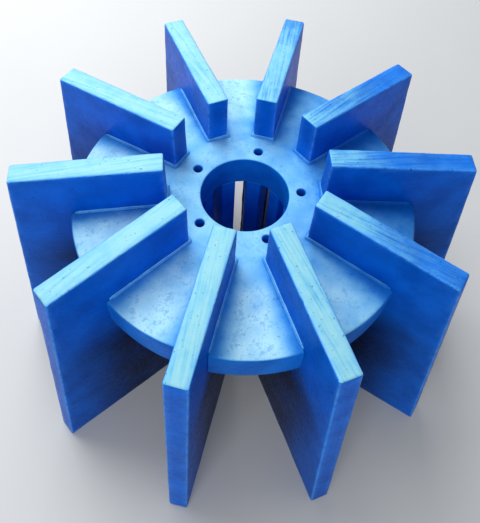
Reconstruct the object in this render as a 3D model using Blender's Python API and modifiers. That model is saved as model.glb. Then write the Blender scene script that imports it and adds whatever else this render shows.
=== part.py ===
"""Radial-vane turbine runner: ten straight thick vanes set in a coned crown disc.

The runner stands on the lower edges of its vanes, with its axis along +Z and the
origin on that axis at floor level.  The vanes pass through radial slots in the crown
disc, which has a shaft bore and five bolt holes.  Under the disc a cage of hub bars,
one behind each vane, runs down to a foot ring.  All lengths are in metres.
"""

import math

import bpy

# Vanes
VANE_COUNT = 10
VANE_THICKNESS = 0.030
VANE_INNER_RADIUS = 0.1045  # inner end of a vane above the crown disc
TIP_RADIUS = 0.300  # outer edge of a vane at its top
FOOT_RADIUS = 0.360  # outer edge of a vane at the floor
VANE_INNER_HEIGHT = 0.417
VANE_TIP_HEIGHT = 0.400

# Crown disc
HUB_TOP = 0.345
HUB_UNDERSIDE = 0.295
CONE_DROP = 0.0135  # fall of the disc from the hub to its rim
CROWN_RADIUS = 0.2355
BORE_RADIUS = 0.0595
BOLT_COUNT = 5
BOLT_CIRCLE_RADIUS = 0.077
BOLT_HOLE_RADIUS = 0.006

# Hub cage
BAR_OUTER_RADIUS = 0.084
BAR_SPACING = 0.0165  # width of the parallel slot between two bars
RING_TOP = 0.044
RING_UNDERSIDE = 0.008

GAP = 0.0003  # clearance between solids that touch
ROUND_STEPS = 120  # straight sides of a full circle
HOLE_STEPS = 24
CUT_MARGIN = 0.05  # how far a cutter runs past what it cuts

VANE_PITCH = 2 * math.pi / VANE_COUNT
ROOT_RADIUS = BAR_OUTER_RADIUS + GAP
ROOT_HEIGHT = HUB_UNDERSIDE - GAP


def clear_scene():
    for old in list(bpy.data.objects):
        bpy.data.objects.remove(old)


def new_collection(name):
    made = bpy.data.collections.new(name)
    bpy.context.scene.collection.children.link(made)
    return made


def move_to(made, collection):
    for old in list(made.users_collection):
        old.objects.unlink(made)
    collection.objects.link(made)


def paint(name, colour, roughness):
    material = bpy.data.materials.new(name)
    material.use_nodes = True
    shader = material.node_tree.nodes["Principled BSDF"]
    shader.inputs["Base Color"].default_value = (*colour, 1.0)
    shader.inputs["Roughness"].default_value = roughness
    shader.inputs["Metallic"].default_value = 0.0
    return material


def plate(name, outline, thickness, material, collection):
    """A flat plate: one closed outline in the local XY plane, thickened both ways."""
    curve = bpy.data.curves.new(name, "CURVE")
    curve.dimensions = "2D"
    curve.fill_mode = "BOTH"
    curve.extrude = thickness / 2
    spline = curve.splines.new("POLY")
    spline.points.add(len(outline) - 1)
    for point, (x, y) in zip(spline.points, outline):
        point.co = (x, y, 0.0, 1.0)
    spline.use_cyclic_u = True
    made = bpy.data.objects.new(name, curve)
    made.data.materials.append(material)
    collection.objects.link(made)
    return made


def turned_ring(name, profile, material, collection):
    """A ring about +Z, turned from a closed profile of (radius, height) points."""
    mesh = bpy.data.meshes.new(name)
    last = len(profile) - 1
    edges = [(i, i + 1) for i in range(last)] + [(last, 0)]
    mesh.from_pydata([(r, 0.0, z) for r, z in profile], edges, [])
    mesh.materials.append(material)
    made = bpy.data.objects.new(name, mesh)
    collection.objects.link(made)
    screw = made.modifiers.new("turn", "SCREW")
    screw.steps = ROUND_STEPS
    screw.render_steps = ROUND_STEPS
    screw.use_merge_vertices = True
    screw.merge_threshold = 0.00005
    screw.use_smooth_shade = False
    return made


def cut(target, cutter):
    cutter.hide_render = True
    cutter.display_type = "WIRE"
    boolean = target.modifiers.new(f"cut_{cutter.name}", "BOOLEAN")
    boolean.operation = "DIFFERENCE"
    boolean.solver = "EXACT"
    boolean.object = cutter


def add_vanes(material, collection):
    """Vanes: the root of each reaches in under the disc to meet its hub bar."""
    outline = [
        (ROOT_RADIUS, 0.0),
        (FOOT_RADIUS, 0.0),
        (TIP_RADIUS, VANE_TIP_HEIGHT),
        (VANE_INNER_RADIUS, VANE_INNER_HEIGHT),
        (VANE_INNER_RADIUS, ROOT_HEIGHT),
        (ROOT_RADIUS, ROOT_HEIGHT),
    ]
    for i in range(VANE_COUNT):
        name = f"vane_{i + 1:02d}"
        vane = plate(name, outline, VANE_THICKNESS, material, collection)
        vane.rotation_euler = (math.pi / 2, 0.0, i * VANE_PITCH)


def vane_slot_cutter(index, collection):
    """A bar that cuts one vane's slot from its inner end out past the disc's rim."""
    inner = VANE_INNER_RADIUS - GAP
    outer = CROWN_RADIUS + CUT_MARGIN
    turn = index * VANE_PITCH
    middle = (inner + outer) / 2
    bpy.ops.mesh.primitive_cube_add(size=1.0)
    bar = bpy.context.object
    bar.name = f"vane_slot_{index + 1:02d}"
    bar.location = (middle * math.cos(turn), middle * math.sin(turn), HUB_UNDERSIDE)
    bar.rotation_euler.z = turn
    bar.scale = (outer - inner, VANE_THICKNESS + 2 * GAP, 4 * CUT_MARGIN)
    move_to(bar, collection)
    return bar


def bolt_hole_cutter(index, collection):
    turn = index * 2 * math.pi / BOLT_COUNT
    bpy.ops.mesh.primitive_cylinder_add(
        vertices=HOLE_STEPS,
        radius=BOLT_HOLE_RADIUS,
        depth=HUB_TOP - HUB_UNDERSIDE + CUT_MARGIN,
        location=(
            BOLT_CIRCLE_RADIUS * math.cos(turn),
            BOLT_CIRCLE_RADIUS * math.sin(turn),
            (HUB_TOP + HUB_UNDERSIDE) / 2,
        ),
    )
    hole = bpy.context.object
    hole.name = f"bolt_hole_{index + 1}"
    move_to(hole, collection)
    return hole


def add_crown_disc(material, collection, cutters):
    profile = [
        (BORE_RADIUS, HUB_TOP),
        (VANE_INNER_RADIUS, HUB_TOP),
        (CROWN_RADIUS, HUB_TOP - CONE_DROP),
        (CROWN_RADIUS, HUB_UNDERSIDE - CONE_DROP),
        (VANE_INNER_RADIUS, HUB_UNDERSIDE),
        (BORE_RADIUS, HUB_UNDERSIDE),
    ]
    disc = turned_ring("crown_disc", profile, material, collection)
    for i in range(VANE_COUNT):
        cut(disc, vane_slot_cutter(i, cutters))
    for i in range(BOLT_COUNT):
        cut(disc, bolt_hole_cutter(i, cutters))


def bar_outline():
    """Plan of the hub bar on +X: curved faces, and sides along the slots beside it."""

    def arc(radius, steps):
        reach = VANE_PITCH / 2 - math.asin(BAR_SPACING / 2 / radius)
        angles = [reach * (2 * i / steps - 1) for i in range(steps + 1)]
        return [(radius * math.cos(a), radius * math.sin(a)) for a in angles]

    return arc(BAR_OUTER_RADIUS, 8) + arc(BORE_RADIUS, 6)[::-1]


def add_hub_bars(material, collection):
    low = RING_TOP + GAP
    outline = bar_outline()
    for i in range(VANE_COUNT):
        name = f"hub_bar_{i + 1:02d}"
        bar = plate(name, outline, ROOT_HEIGHT - low, material, collection)
        bar.location.z = (ROOT_HEIGHT + low) / 2
        bar.rotation_euler.z = i * VANE_PITCH


def add_foot_ring(material, collection):
    profile = [
        (BORE_RADIUS, RING_TOP),
        (BAR_OUTER_RADIUS, RING_TOP),
        (BAR_OUTER_RADIUS, RING_UNDERSIDE),
        (BORE_RADIUS, RING_UNDERSIDE),
    ]
    turned_ring("foot_ring", profile, material, collection)


def main():
    clear_scene()
    parts = new_collection("radial_vane_runner")
    cutters = new_collection("cutters")
    vane_paint = paint("vane_paint", (0.02, 0.16, 0.62), 0.45)
    crown_paint = paint("crown_paint", (0.06, 0.26, 0.68), 0.5)
    hub_paint = paint("hub_paint", (0.015, 0.10, 0.42), 0.55)
    add_vanes(vane_paint, parts)
    add_crown_disc(crown_paint, parts, cutters)
    add_hub_bars(hub_paint, parts)
    add_foot_ring(hub_paint, parts)


main()
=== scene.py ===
"""Looks for the radial-vane turbine runner: painted plates, welds, light and camera.

Every CAD node is replaced by a piece of the same size with rounded, slightly uneven
faces and edges.  Weld beads, which the CAD model leaves out, are added along the joints.
All lengths are in metres, in the frame's own axes: +Z up along the shaft.
"""

import math

import bmesh
import bpy
from mathutils import Matrix, Quaternion, Vector, noise


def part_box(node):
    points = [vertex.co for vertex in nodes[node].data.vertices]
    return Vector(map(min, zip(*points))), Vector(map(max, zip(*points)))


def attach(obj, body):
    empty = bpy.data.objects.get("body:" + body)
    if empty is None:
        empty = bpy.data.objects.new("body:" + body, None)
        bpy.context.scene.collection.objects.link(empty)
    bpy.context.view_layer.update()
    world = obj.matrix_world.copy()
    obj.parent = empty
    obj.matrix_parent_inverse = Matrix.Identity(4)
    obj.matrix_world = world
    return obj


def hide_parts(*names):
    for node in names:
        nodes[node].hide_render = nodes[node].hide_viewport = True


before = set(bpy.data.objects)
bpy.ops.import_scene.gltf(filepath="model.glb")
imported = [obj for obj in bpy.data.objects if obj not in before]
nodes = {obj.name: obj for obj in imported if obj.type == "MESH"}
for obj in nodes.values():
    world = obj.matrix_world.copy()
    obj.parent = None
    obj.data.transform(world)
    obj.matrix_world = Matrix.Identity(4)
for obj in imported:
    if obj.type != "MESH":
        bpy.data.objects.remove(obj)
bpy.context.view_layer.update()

X = Vector((1, 0, 0))
Y = Vector((0, 1, 0))
Z = Vector((0, 0, 1))

VANE_COUNT = 10
PITCH = 2 * math.pi / VANE_COUNT
BOLT_COUNT = 5
BACKDROP = (0.74, 0.76, 0.78)

# How the pieces are made
VANE_ROUNDING = 0.0030
BAR_ROUNDING = 0.0007
FACE_SPACING = 0.009  # between the cuts that let a vane's face bend
EDGE_SPACING = 0.0075
DISC_STEPS = 240
RING_STEPS = 180

# Sizes that no node's box gives
VANE_INNER_RADIUS = 0.1045
BORE_RADIUS = 0.0595
BOLT_CIRCLE_RADIUS = 0.077
BOLT_HOLE_RADIUS = 0.006
GAP = 0.0003  # between neighbouring CAD solids

# Sizes read from the frame, where vane_01 lies along +X
vane_low, vane_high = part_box("vane_01")
crown_low, crown_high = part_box("crown_disc")
ring_low, ring_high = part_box("foot_ring")
bar_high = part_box("hub_bar_01")[1]
VANE_HALF = vane_high.y
HUB_TOP = crown_high.z
CROWN_RADIUS = crown_high.y
BAR_OUTER_RADIUS = ring_high.x
HUB_UNDERSIDE = bar_high.z + GAP
CONE_DROP = HUB_UNDERSIDE - crown_low.z

# Weld beads.  Those on the disc stop short of its rim, where the cone has fallen this far.
TOP_LEG = 0.0031
LEG = 0.0048
BITE = 0.0006  # how far a bead reaches into the metal behind it
SINK = 0.0003  # how far the top beads lie under the disc's even face
BEAD_STEPS = 6
RIPPLE_LENGTH = 0.0036
TAPER_LENGTH = 0.010
WELD_END_RADIUS = CROWN_RADIUS - 0.0065
WELD_FALL = CONE_DROP * (WELD_END_RADIUS - VANE_INNER_RADIUS) / (CROWN_RADIUS - VANE_INNER_RADIUS)


# ---------------------------------------------------------------- mesh helpers


def clean_mesh(node):
    """A node's solid as a bmesh, with its flat faces whole and not in triangles."""
    bm = bmesh.new()
    bm.from_mesh(nodes[node].data)
    bmesh.ops.remove_doubles(bm, verts=bm.verts, dist=1e-6)
    bmesh.ops.dissolve_limit(
        bm, angle_limit=math.radians(0.05), verts=bm.verts, edges=bm.edges
    )
    return bm


def round_edges(bm, width):
    """Rounds every edge where the faces turn by more than 30 degrees."""
    least = math.radians(30)
    sharp = [e for e in bm.edges if e.is_manifold and e.calc_face_angle() > least]
    bmesh.ops.bevel(
        bm, geom=sharp, offset=width, offset_type="OFFSET", segments=3,
        profile=0.5, affect="EDGES", clamp_overlap=True,
    )


def slice_faces(bm, axis, low, high, spacing):
    """Cuts every face along evenly spaced planes, so that it can bend."""
    count = int((high - low) / spacing)
    for i in range(1, count):
        at = axis * (low + (high - low) * i / count)
        geometry = bm.verts[:] + bm.edges[:] + bm.faces[:]
        bmesh.ops.bisect_plane(bm, geom=geometry, plane_co=at, plane_no=axis, dist=1e-6)


def make_uneven(bm, depth, size, seed):
    """Sinks the surface by up to depth, in a smooth pattern with hills about size wide."""
    bm.normal_update()
    offset = Vector((seed * 3.7, seed * 1.9, seed * 5.3))
    moves = []
    for v in bm.verts:
        broad = noise.noise(v.co / size + offset)
        close = noise.noise(v.co / (size * 0.35) + offset)
        moves.append(-depth * min(1.0, max(0.0, 0.5 + 0.6 * broad + 0.35 * close)))
    for v, move in zip(bm.verts, moves):
        v.co += v.normal * move


def finish_piece(name, bm, material, smooth_angle=40):
    mesh = bpy.data.meshes.new(name)
    bm.to_mesh(mesh)
    bm.free()
    mesh.shade_smooth()
    mesh.set_sharp_from_angle(angle=math.radians(smooth_angle))
    mesh.materials.append(material)
    piece = bpy.data.objects.new(name, mesh)
    bpy.context.scene.collection.objects.link(piece)
    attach(piece, "root")
    return piece


def turned_piece(name, profile, steps):
    """A ring about +Z as an object, from a closed (radius, height) profile."""
    mesh = bpy.data.meshes.new(name)
    count = len(profile)
    edges = [(i, (i + 1) % count) for i in range(count)]
    mesh.from_pydata([(r, 0, z) for r, z in profile], edges, [])
    piece = bpy.data.objects.new(name, mesh)
    bpy.context.scene.collection.objects.link(piece)
    screw = piece.modifiers.new("turn", "SCREW")
    screw.steps = screw.render_steps = steps
    screw.use_merge_vertices = True
    screw.merge_threshold = 0.00002
    return piece


def subtract(piece, cutter):
    cut = piece.modifiers.new(cutter.name, "BOOLEAN")
    cut.operation = "DIFFERENCE"
    cut.solver = "EXACT"
    cut.object = cutter


def evaluated_bmesh(piece):
    """The piece as its modifiers leave it; the piece itself is removed."""
    graph = bpy.context.evaluated_depsgraph_get()
    mesh = bpy.data.meshes.new_from_object(piece.evaluated_get(graph))
    bm = bmesh.new()
    bm.from_mesh(mesh)
    bpy.data.objects.remove(piece)
    return bm


def rounded_profile(corners, radii):
    """A closed profile with each corner cut off by a curve that starts radius away."""
    steps = 4
    points = []
    count = len(corners)
    for i, (corner, radius) in enumerate(zip(corners, radii)):
        here = Vector(corner)
        before = (Vector(corners[i - 1]) - here).normalized()
        after = (Vector(corners[(i + 1) % count]) - here).normalized()
        if before.dot(after) < -0.99:
            points.append(corner)
            continue
        start, end = here + before * radius, here + after * radius
        for step in range(steps + 1):
            t = step / steps
            blend = start.lerp(here, t).lerp(here.lerp(end, t), t)
            points.append(tuple(blend))
    return points


def divided(profile, spacing):
    """The profile with extra points along its long sides."""
    points = []
    for a, b in zip(profile, profile[1:] + profile[:1]):
        a, b = Vector(a), Vector(b)
        parts = max(1, round((b - a).length / spacing))
        points += [tuple(a.lerp(b, k / parts)) for k in range(parts)]
    return points


# ---------------------------------------------------------------- materials


class Nodes:
    """A short way to write a material's node tree."""

    def __init__(self, name):
        self.material = bpy.data.materials.new(name)
        self.material.use_nodes = True
        self.tree = self.material.node_tree
        self.shader = self.tree.nodes["Principled BSDF"]
        self.where = self.add("ShaderNodeTexCoord").outputs["Object"]

    def add(self, kind, **settings):
        node = self.tree.nodes.new(kind)
        for key, value in settings.items():
            setattr(node, key, value)
        return node

    def link(self, source, target):
        if isinstance(source, (int, float, tuple)):
            target.default_value = source
        else:
            self.tree.links.new(source, target)

    def noise(self, size, detail=3.0, roughness=0.55, stretch=(1, 1, 1), where=None):
        place = self.add("ShaderNodeMapping")
        self.link(where or self.where, place.inputs["Vector"])
        place.inputs["Scale"].default_value = stretch
        node = self.add("ShaderNodeTexNoise")
        self.link(place.outputs["Vector"], node.inputs["Vector"])
        node.inputs["Scale"].default_value = 1 / size
        node.inputs["Detail"].default_value = detail
        node.inputs["Roughness"].default_value = roughness
        return node.outputs["Fac"]

    def ramp(self, source, low, high, to_low=0.0, to_high=1.0):
        node = self.add("ShaderNodeMapRange", interpolation_type="SMOOTHSTEP")
        self.link(source, node.inputs["Value"])
        node.inputs["From Min"].default_value = low
        node.inputs["From Max"].default_value = high
        node.inputs["To Min"].default_value = to_low
        node.inputs["To Max"].default_value = to_high
        return node.outputs["Result"]

    def math(self, operation, a, b):
        node = self.add("ShaderNodeMath", operation=operation)
        self.link(a, node.inputs[0])
        self.link(b, node.inputs[1])
        return node.outputs[0]

    def mix(self, factor, a, b):
        node = self.add("ShaderNodeMix", data_type="RGBA")
        self.link(factor, node.inputs["Factor"])
        self.link(a, node.inputs["A"])
        self.link(b, node.inputs["B"])
        return node.outputs["Result"]

    def bump(self, height, distance, strength=1.0, normal=None):
        node = self.add("ShaderNodeBump")
        node.inputs["Strength"].default_value = strength
        node.inputs["Distance"].default_value = distance
        self.link(height, node.inputs["Height"])
        if normal is not None:
            self.link(normal, node.inputs["Normal"])
        return node.outputs["Normal"]


def distance_from_axis(n):
    flat = n.add("ShaderNodeVectorMath", operation="MULTIPLY")
    n.link(n.where, flat.inputs[0])
    flat.inputs[1].default_value = (1, 1, 0)
    length = n.add("ShaderNodeVectorMath", operation="LENGTH")
    n.link(flat.outputs["Vector"], length.inputs[0])
    return length.outputs["Value"]


def painted_under_disc_shade(n, colour, amount):
    """Painted shade: darkens the paint to near-black navy under the disc, most of all near the
    shaft, where the disc shades the vanes.
    """
    split = n.add("ShaderNodeSeparateXYZ")
    n.link(n.where, split.inputs[0])
    near = n.ramp(distance_from_axis(n), 0.22, 0.350, 1.0, 0.0)
    low = n.ramp(split.outputs["Z"], 0.21, 0.300, 1.0, 0.0)
    patchy = n.ramp(n.noise(0.06, 4), 0.3, 0.7, 0.82, 1.0)
    mask = n.math("MULTIPLY", n.math("MULTIPLY", near, low), patchy)
    return n.mix(n.math("MULTIPLY", mask, amount), colour, (0.003, 0.008, 0.048, 1))


def painted_vane_shade(n):
    """1 on the hub and out in the middle between two vanes, less beside a vane: the drop beside a
    vane is painted shade from that vane.
    """
    split = n.add("ShaderNodeSeparateXYZ")
    n.link(n.where, split.inputs[0])
    turn = n.math("ARCTAN2", split.outputs["Y"], split.outputs["X"])
    wave = n.math("COSINE", n.math("MULTIPLY", turn, float(VANE_COUNT)), 0.0)
    between = n.ramp(wave, -0.80, 0.80, 1.0, 0.20)
    wander = n.math("MULTIPLY", n.math("SUBTRACT", n.noise(0.02, 3), 0.5), 0.03)
    radius = n.math("ADD", distance_from_axis(n), wander)
    on_hub = n.ramp(radius, 0.094, 0.120, 0.64, 0.0)
    outward = n.ramp(radius, 0.110, 0.190, 0.55, 1.0)
    return n.math("MAXIMUM", on_hub, n.math("MULTIPLY", between, outward))


def painted_sheen_side(n, least):
    """1 over most of the runner, falling to least on the +X side, where the pale layer is thin:
    painted sheen, paler on the side toward the key light.
    """
    split = n.add("ShaderNodeSeparateXYZ")
    n.link(n.where, split.inputs[0])
    wander = n.math("MULTIPLY", n.math("SUBTRACT", n.noise(0.09, 3), 0.5), 0.12)
    across = n.math("ADD", split.outputs["X"], n.math("MULTIPLY", split.outputs["Y"], 0.15))
    return n.ramp(n.math("ADD", across, wander), -0.02, 0.21, 1.0, least)


def dust_and_sheen_mask(n, amount, least, on_disc, brushed):
    """How much of the pale layer lies where: on faces that look up, in soft patches. The layer is
    dust and painted sheen.
    """
    split = n.add("ShaderNodeSeparateXYZ")
    n.link(n.add("ShaderNodeNewGeometry").outputs["Normal"], split.inputs[0])
    # Faces that look up get the pale layer: dust, and painted sheen as from light above.
    facing_up = n.ramp(split.outputs["Z"], 0.42, 0.94)
    patchy = n.ramp(n.noise(0.020, 5, 0.65), 0.32, 0.66, 0.70, 1.0)
    mask = n.math("MULTIPLY", n.math("MULTIPLY", facing_up, patchy), amount)
    # Painted sheen: less of the pale layer on the +X side.
    mask = n.math("MULTIPLY", mask, painted_sheen_side(n, least))
    if on_disc:
        # Painted shade: less of the pale layer beside each vane.
        mask = n.math("MULTIPLY", mask, painted_vane_shade(n))
    if brushed is not None:
        mask = n.math("MULTIPLY", mask, n.ramp(brushed, 0.32, 0.58, 0.52, 1.0))
    return mask


def add_dust_and_sheen(n, colour, mask, thin, dust_and_sheen, on_disc):
    """Lays the pale layer, dust and painted sheen, over the paint: sky blue where it is thin,
    chalky where it is thick.
    """
    dust_and_sheen_colour = (*dust_and_sheen, 1)
    if on_disc:
        blotch = n.ramp(n.noise(0.010, 5, 0.80), 0.46, 0.64, 0.0, 0.58)
        dust_and_sheen_colour = n.mix(blotch, dust_and_sheen_colour, (0.06, 0.28, 0.58, 1))
    colour = n.mix(n.ramp(mask, 0.0, 0.50), colour, (*thin, 1))
    return n.mix(n.ramp(mask, 0.15, 1.0), colour, dust_and_sheen_colour)


def edge_wear_and_highlight(n, colour):
    """Lightens the rounded edges that mark_edges found, in patches: wear and a painted edge
    highlight.
    """
    edge = n.add("ShaderNodeAttribute", attribute_name="edge").outputs["Fac"]
    worn_and_lit = n.math("MULTIPLY", edge, n.ramp(n.noise(0.012, 4, 0.7), 0.34, 0.6, 0.20, 0.70))
    return n.mix(worn_and_lit, colour, (0.07, 0.34, 0.92, 1))


def blue_paint(
    name, deep, bright, thin, dust_and_sheen, dust_and_sheen_amount, dust_and_sheen_least, under_disc_shade_amount,
    on_disc=False, on_vane=False,
):
    """Blue paint with a pale layer on what faces up (dust and painted sheen), specks, edges
    lightened by wear and painted highlight, and painted shade under the disc.
    """
    n = Nodes(name)
    brushed = None
    if on_vane:
        along = n.add("ShaderNodeUVMap", uv_map="along").outputs["UV"]
        brushed = n.noise(0.0035, 3, 0.6, (0.045, 1, 1), along)
    colour = n.mix(n.ramp(n.noise(0.05, 5), 0.3, 0.7), (*deep, 1), (*bright, 1))
    # Painted shade: darker under the disc, most near the shaft.
    colour = painted_under_disc_shade(n, colour, under_disc_shade_amount)
    mask = dust_and_sheen_mask(n, dust_and_sheen_amount, dust_and_sheen_least, on_disc, brushed)
    # Pale layer on upward faces: dust and painted sheen.
    colour = add_dust_and_sheen(n, colour, mask, thin, dust_and_sheen, on_disc)
    # Rounded edges lightened: wear and painted highlight.
    if on_vane:
        colour = edge_wear_and_highlight(n, colour)
    speck_amount = 0.35 if on_disc else 0.6
    specks = n.ramp(n.noise(0.0040, 2, 0.5), 0.66, 0.74, 0.0, speck_amount)
    colour = n.mix(specks, colour, (0.002, 0.04, 0.20, 1))
    n.link(colour, n.shader.inputs["Base Color"])

    fine = n.noise(0.005, 3)
    n.link(n.ramp(fine, 0.3, 0.7, 0.36, 0.50), n.shader.inputs["Roughness"])
    n.shader.inputs["Specular IOR Level"].default_value = 0.11
    n.shader.inputs["Specular Tint"].default_value = (0.1, 0.8, 1.0, 1)
    relief = n.bump(n.noise(0.016, 3), 0.0012, 0.5)
    if on_vane:
        relief = n.bump(brushed, 0.0006, 0.5, relief)
    n.link(n.bump(fine, 0.0004, 0.5, relief), n.shader.inputs["Normal"])
    return n.material


def floor_paint():
    """Plain pale floor, which fades far away into the backdrop's tone."""
    n = Nodes("floor_pale")
    tone = n.mix(n.noise(0.4, 2), (0.53, 0.535, 0.54, 1), (0.56, 0.565, 0.57, 1))
    n.link(tone, n.shader.inputs["Base Color"])
    n.shader.inputs["Roughness"].default_value = 0.9
    n.shader.inputs["Emission Color"].default_value = (*BACKDROP, 1)
    glow = n.ramp(distance_from_axis(n), 0.9, 3.4, 0.0, 0.66)
    n.link(glow, n.shader.inputs["Emission Strength"])
    return n.material


vane_paint = blue_paint(
    "vane_blue", deep=(0.0, 0.080, 0.46), bright=(0.001, 0.125, 0.64),
    thin=(0.13, 0.43, 0.64), dust_and_sheen=(0.28, 0.56, 0.63),
    dust_and_sheen_amount=0.97, dust_and_sheen_least=0.15, under_disc_shade_amount=1.0, on_vane=True,
)
crown_paint = blue_paint(
    "crown_blue", deep=(0.001, 0.11, 0.50), bright=(0.004, 0.17, 0.66),
    thin=(0.09, 0.38, 0.74), dust_and_sheen=(0.47, 0.79, 0.91),
    dust_and_sheen_amount=0.90, dust_and_sheen_least=0.30, under_disc_shade_amount=0.95, on_disc=True,
)
# The beads' pale layer is dust and a painted highlight along the vanes' feet.
weld_paint = blue_paint(
    "weld_blue", deep=(0.0, 0.090, 0.46), bright=(0.004, 0.16, 0.64),
    thin=(0.09, 0.38, 0.74), dust_and_sheen=(0.36, 0.70, 0.88),
    dust_and_sheen_amount=0.58, dust_and_sheen_least=0.30, under_disc_shade_amount=0.9,
)
# A lighter blue than the vanes' paint, with no under-disc darkening: painted light on the bars,
# which stand in the bore's shade.
hub_paint = blue_paint(
    "hub_blue", deep=(0.0, 0.10, 0.54), bright=(0.001, 0.15, 0.70),
    thin=(0.04, 0.28, 0.62), dust_and_sheen=(0.06, 0.34, 0.64),
    dust_and_sheen_amount=0.4, dust_and_sheen_least=0.3, under_disc_shade_amount=0.0,
)


# ---------------------------------------------------------------- vanes


def map_along(bm, shift):
    """A UV map whose U runs outward along the vane and V across its edge and up its side."""
    layer = bm.loops.layers.uv.new("along")
    for face in bm.faces:
        for loop in face.loops:
            p = loop.vert.co
            loop[layer].uv = (p.x + shift, p.y + p.z + shift)


def mark_edges(bm):
    """An edge value on each vertex: 1 half way round a rounded edge, 0 on a flat face."""
    bm.normal_update()
    layer = bm.verts.layers.float.new("edge")
    for v in bm.verts:
        across = abs(v.normal.y)
        v[layer] = 2 * across * math.sqrt(max(0.0, 1 - across * across))


def add_vanes():
    """Every vane starts as vane_01's solid, and is turned to its own place at the end."""
    for i in range(VANE_COUNT):
        node = f"vane_{i + 1:02d}"
        bm = clean_mesh("vane_01")
        round_edges(bm, VANE_ROUNDING)
        slice_faces(bm, X, vane_low.x, vane_high.x, FACE_SPACING)
        slice_faces(bm, Z, vane_low.z, vane_high.z, FACE_SPACING)
        slice_faces(bm, Y, vane_low.y, vane_high.y, EDGE_SPACING)
        mark_edges(bm)
        make_uneven(bm, 0.0008, 0.045, i + 1)
        map_along(bm, i * 0.731)
        bmesh.ops.rotate(bm, verts=bm.verts, matrix=Matrix.Rotation(i * PITCH, 3, "Z"))
        piece = finish_piece(f"painted_{node}", bm, vane_paint)
        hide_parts(node)


# ---------------------------------------------------------------- crown disc


def slot_cutter(name, turn):
    """A box that cuts one vane's slot in the disc and runs out past its rim and faces."""
    inner = VANE_INNER_RADIUS - GAP
    outer = CROWN_RADIUS + 0.02
    low = HUB_UNDERSIDE - 0.03
    high = HUB_TOP + 0.02
    bm = bmesh.new()
    size = Matrix.Diagonal((outer - inner, 2 * (VANE_HALF + GAP), high - low, 1))
    shift = Matrix.Translation(((outer + inner) / 2, 0, (low + high) / 2))
    bmesh.ops.create_cube(bm, size=1, matrix=Matrix.Rotation(turn, 4, "Z") @ shift @ size)
    return cutter_object(name, bm)


def hole_cutter(name, turn):
    """A bolt hole's shape: a straight hole that widens at the top in a small chamfer."""
    bm = bmesh.new()
    lip = 0.0012
    rings = [
        (BOLT_HOLE_RADIUS, HUB_UNDERSIDE + 0.008),
        (BOLT_HOLE_RADIUS, HUB_TOP - lip),
        (BOLT_HOLE_RADIUS + lip, HUB_TOP),
        (BOLT_HOLE_RADIUS + lip, HUB_TOP + 0.01),
    ]
    steps = 32
    angles = [2 * math.pi * k / steps for k in range(steps)]
    loops = []
    for r, z in rings:
        loops.append([bm.verts.new((r * math.cos(a), r * math.sin(a), z)) for a in angles])
    for low, high in zip(loops, loops[1:]):
        for k in range(steps):
            j = (k + 1) % steps
            bm.faces.new((low[k], low[j], high[j], high[k]))
    bm.faces.new(loops[0][::-1])
    bm.faces.new(loops[-1])
    place = Matrix.Rotation(turn, 4, "Z") @ Matrix.Translation((BOLT_CIRCLE_RADIUS, 0, 0))
    bmesh.ops.transform(bm, verts=bm.verts, matrix=place)
    return cutter_object(name, bm)


def cutter_object(name, bm):
    mesh = bpy.data.meshes.new(name)
    bm.to_mesh(mesh)
    bm.free()
    cutter = bpy.data.objects.new(name, mesh)
    bpy.context.scene.collection.objects.link(cutter)
    return cutter


def add_crown_disc():
    corners = [
        (BORE_RADIUS, HUB_TOP),
        (VANE_INNER_RADIUS, HUB_TOP),
        (CROWN_RADIUS, HUB_TOP - CONE_DROP),
        (CROWN_RADIUS, HUB_UNDERSIDE - CONE_DROP),
        (VANE_INNER_RADIUS, HUB_UNDERSIDE),
        (BORE_RADIUS, HUB_UNDERSIDE),
    ]
    radii = [0.0035, 0.0035, 0.0055, 0.0030, 0.0030, 0.0008]
    profile = divided(rounded_profile(corners, radii), 0.007)
    disc = turned_piece("disc", profile, DISC_STEPS)
    cutters = [slot_cutter(f"slot_{i}", i * PITCH) for i in range(VANE_COUNT)]
    bolt_pitch = 2 * math.pi / BOLT_COUNT
    cutters += [hole_cutter(f"hole_{i}", i * bolt_pitch) for i in range(BOLT_COUNT)]
    for cutter in cutters:
        subtract(disc, cutter)
    bm = evaluated_bmesh(disc)
    for cutter in cutters:
        bpy.data.objects.remove(cutter)
    make_uneven(bm, 0.0005, 0.04, 21)
    piece = finish_piece("painted_crown_disc", bm, crown_paint)
    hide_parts("crown_disc")


# ---------------------------------------------------------------- hub cage


def add_hub_cage():
    for i in range(VANE_COUNT):
        node = f"hub_bar_{i + 1:02d}"
        bm = clean_mesh(node)
        round_edges(bm, BAR_ROUNDING)
        piece = finish_piece(f"painted_{node}", bm, hub_paint)
        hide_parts(node)
    corners = [
        (BORE_RADIUS, ring_high.z),
        (BAR_OUTER_RADIUS, ring_high.z),
        (BAR_OUTER_RADIUS, ring_low.z),
        (BORE_RADIUS, ring_low.z),
    ]
    profile = divided(rounded_profile(corners, [0.002] * 4), 0.008)
    bm = evaluated_bmesh(turned_piece("ring", profile, RING_STEPS))
    piece = finish_piece("painted_foot_ring", bm, hub_paint)
    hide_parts("foot_ring")


# ---------------------------------------------------------------- weld beads


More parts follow.
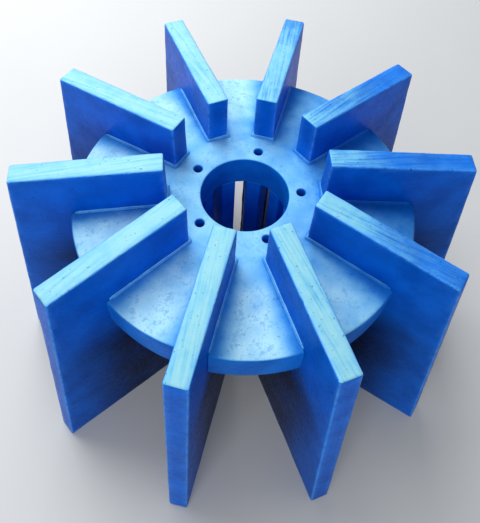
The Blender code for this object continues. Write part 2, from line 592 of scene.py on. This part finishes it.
def weld_bead(bm, path, leg, seed):
    """A rippled bead in the corner that path follows, thinner at its two ends.

    Path is a list of (point, away, up): away and up lie in the two faces of the corner.
    """
    sections = []
    travelled = 0.0
    whole = sum((b[0] - a[0]).length for a, b in zip(path, path[1:]))
    for index, (point, away, up) in enumerate(path):
        if index:
            travelled += (point - path[index - 1][0]).length
        ripple = 0.04 * math.sin(travelled * 2 * math.pi / RIPPLE_LENGTH)
        drift = 0.20 * noise.noise(Vector((travelled / 0.018, seed * 7.1, 0.0)))
        taper = min(1.0, 0.35 + min(travelled, whole - travelled) / TAPER_LENGTH)
        size = leg * (1.0 + ripple + drift) * taper
        section = [bm.verts.new(point - away * BITE - up * BITE)]
        for k in range(BEAD_STEPS + 1):
            turn = math.pi / 2 * k / BEAD_STEPS
            a = size * math.cos(turn) ** 2 - (BITE if k == BEAD_STEPS else 0.0)
            b = size * math.sin(turn) ** 2 - (BITE if k == 0 else 0.0)
            section.append(bm.verts.new(point + away * a + up * b))
        sections.append(section)
    width = BEAD_STEPS + 2
    for s, t in zip(sections, sections[1:]):
        for k in range(width):
            j = (k + 1) % width
            bm.faces.new((s[k], s[j], t[j], t[k]))
    bm.faces.new(sections[0][::-1])
    bm.faces.new(sections[-1])


def straight(start, end, away, up, spacing=0.0012):
    count = max(2, int((end - start).length / spacing))
    return [(start.lerp(end, k / count), away, up) for k in range(count + 1)]


def around_corner(point, from_away, to_away, up):
    steps = 8
    turns = [from_away.lerp(to_away, k / steps).normalized() for k in range(1, steps)]
    return [(point, away, up) for away in turns]


def crown_weld_path(height, up):
    """Round one vane where it meets the disc: along one side, past its end, and back."""
    outer_left = Vector((WELD_END_RADIUS, VANE_HALF, height - WELD_FALL))
    inner_left = Vector((VANE_INNER_RADIUS, VANE_HALF, height))
    inner_right = Vector((VANE_INNER_RADIUS, -VANE_HALF, height))
    outer_right = Vector((WELD_END_RADIUS, -VANE_HALF, height - WELD_FALL))
    fine = 0.0009
    return (
        straight(outer_left, inner_left, Y, up, fine)
        + around_corner(inner_left, Y, -X, up)
        + straight(inner_left, inner_right, -X, up, fine)
        + around_corner(inner_right, -X, -Y, up)
        + straight(inner_right, outer_right, -Y, up, fine)
    )


def add_root_welds(bm, seed):
    """Down both sides of the vane where it meets its hub bar."""
    root = BAR_OUTER_RADIUS - 0.0008
    for side in (1, -1):
        foot = Vector((root, side * VANE_HALF, ring_low.z + 0.004))
        head = Vector((root, side * VANE_HALF, HUB_UNDERSIDE - 0.001))
        weld_bead(bm, straight(foot, head, Y * side, X), LEG, seed + side)


def add_underside_welds(bm, seed):
    """Along both sides of the vane where it leaves the disc's lower face."""
    for side in (1, -1):
        inner = Vector((VANE_INNER_RADIUS, side * VANE_HALF, HUB_UNDERSIDE))
        outer = Vector((WELD_END_RADIUS, side * VANE_HALF, HUB_UNDERSIDE - WELD_FALL))
        weld_bead(bm, straight(inner, outer, Y * side, -Z), LEG, seed + side)


def add_welds():
    for i in range(VANE_COUNT):
        bm = bmesh.new()
        weld_bead(bm, crown_weld_path(HUB_TOP - SINK, Z), TOP_LEG, i + 1)
        add_root_welds(bm, i + 13)
        add_underside_welds(bm, i + 31)
        bmesh.ops.recalc_face_normals(bm, faces=bm.faces)
        bmesh.ops.rotate(bm, verts=bm.verts, matrix=Matrix.Rotation(i * PITCH, 3, "Z"))
        finish_piece(f"weld_{i + 1:02d}", bm, weld_paint, 60)


add_vanes()
add_crown_disc()
add_hub_cage()
add_welds()


# ---------------------------------------------------------------- floor, light, camera


def add_floor():
    bm = bmesh.new()
    bmesh.ops.create_grid(bm, x_segments=8, y_segments=8, size=12.0)
    mesh = bpy.data.meshes.new("floor")
    bm.to_mesh(mesh)
    bm.free()
    mesh.materials.append(floor_paint())
    floor = bpy.data.objects.new("floor", mesh)
    bpy.context.scene.collection.objects.link(floor)


def add_softbox(name, place, target, width, depth, power):
    """A rectangular light at place that faces target."""
    light = bpy.data.lights.new(name, "AREA")
    light.shape = "RECTANGLE"
    light.size = width
    light.size_y = depth
    light.energy = power
    lamp = bpy.data.objects.new(name, light)
    lamp.location = place
    aim = Vector(target) - Vector(place)
    lamp.rotation_euler = aim.to_track_quat("-Z", "Y").to_euler()
    bpy.context.scene.collection.objects.link(lamp)


def add_world():
    """Soft pale light from all round, and a paler backdrop where the camera sees past the floor."""
    world = bpy.data.worlds.new("studio")
    world.use_nodes = True
    tree = world.node_tree
    ambient = tree.nodes["Background"]
    ambient.inputs["Color"].default_value = (0.88, 0.94, 1.0, 1)
    ambient.inputs["Strength"].default_value = 0.35
    backdrop = tree.nodes.new("ShaderNodeBackground")
    backdrop.inputs["Color"].default_value = (*BACKDROP, 1)
    choose = tree.nodes.new("ShaderNodeMixShader")
    ray = tree.nodes.new("ShaderNodeLightPath")
    tree.links.new(ray.outputs["Is Camera Ray"], choose.inputs["Fac"])
    tree.links.new(ambient.outputs[0], choose.inputs[1])
    tree.links.new(backdrop.outputs[0], choose.inputs[2])
    tree.links.new(choose.outputs[0], tree.nodes["World Output"].inputs["Surface"])
    bpy.context.scene.world = world


def add_camera():
    place = Vector((-0.0596, -0.4860, 0.9987))
    target = Vector((-0.0027, -0.0223, 0.2006))
    camera = bpy.data.cameras.new("camera")
    camera.lens = 41.18
    camera.sensor_width = 36.0
    camera.clip_start = 0.01
    seat = bpy.data.objects.new("camera", camera)
    seat.location = place
    seat.rotation_mode = "QUATERNION"
    roll = Quaternion((0, 0, 1), math.radians(4.17))
    seat.rotation_quaternion = (target - place).to_track_quat("-Z", "Y") @ roll
    bpy.context.scene.collection.objects.link(seat)
    bpy.context.scene.camera = seat


add_floor()
add_softbox("key", (-0.62, 1.25, 2.0), (-0.62, 1.25, 0.0), 1.5, 2.1, 72)
add_softbox("fill", (-0.7, -2.0, 1.7), (0.0, 0.0, 0.2), 1.6, 1.2, 26)
add_world()
add_camera()
bpy.context.scene.view_settings.view_transform = "Standard"
